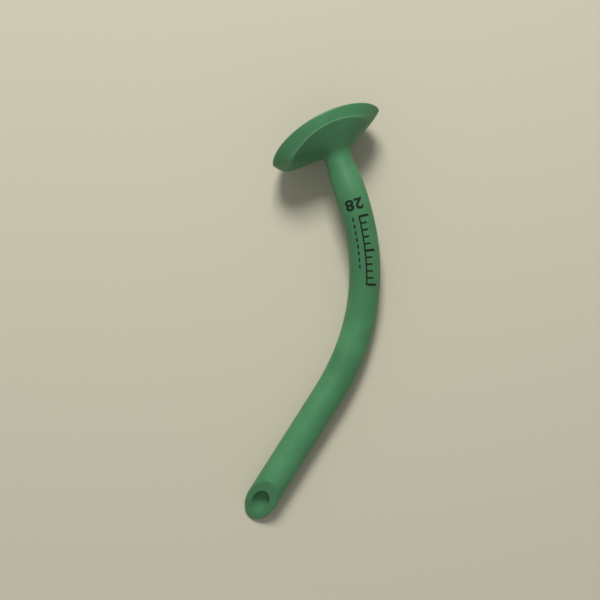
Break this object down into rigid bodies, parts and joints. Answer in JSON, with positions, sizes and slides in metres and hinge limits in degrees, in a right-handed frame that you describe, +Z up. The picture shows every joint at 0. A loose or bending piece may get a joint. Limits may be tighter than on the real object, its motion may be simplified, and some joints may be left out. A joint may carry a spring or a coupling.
{
  "type": "nasopharyngeal airway",
  "caption": "Soft rubber airway tube with a gentle bend, an oval-pressed trumpet flange at one end and a rounded bevelled tip at the other, lying on its side.",
  "frame": {"origin": "centre of the throat, where the neck's straight bore opens into the flange", "axes": "+Y out of the flange along the throat, +Z up from the table that the airway lies on"},
  "size_m": [0.0778, 0.1067, 0.0234],
  "materials": {
    "green_rubber": "smooth satin green rubber with a slight silicone sheen"
  },
  "bodies": {
    "root": {"airway": "green_rubber"}
  },
  "joints": []
}
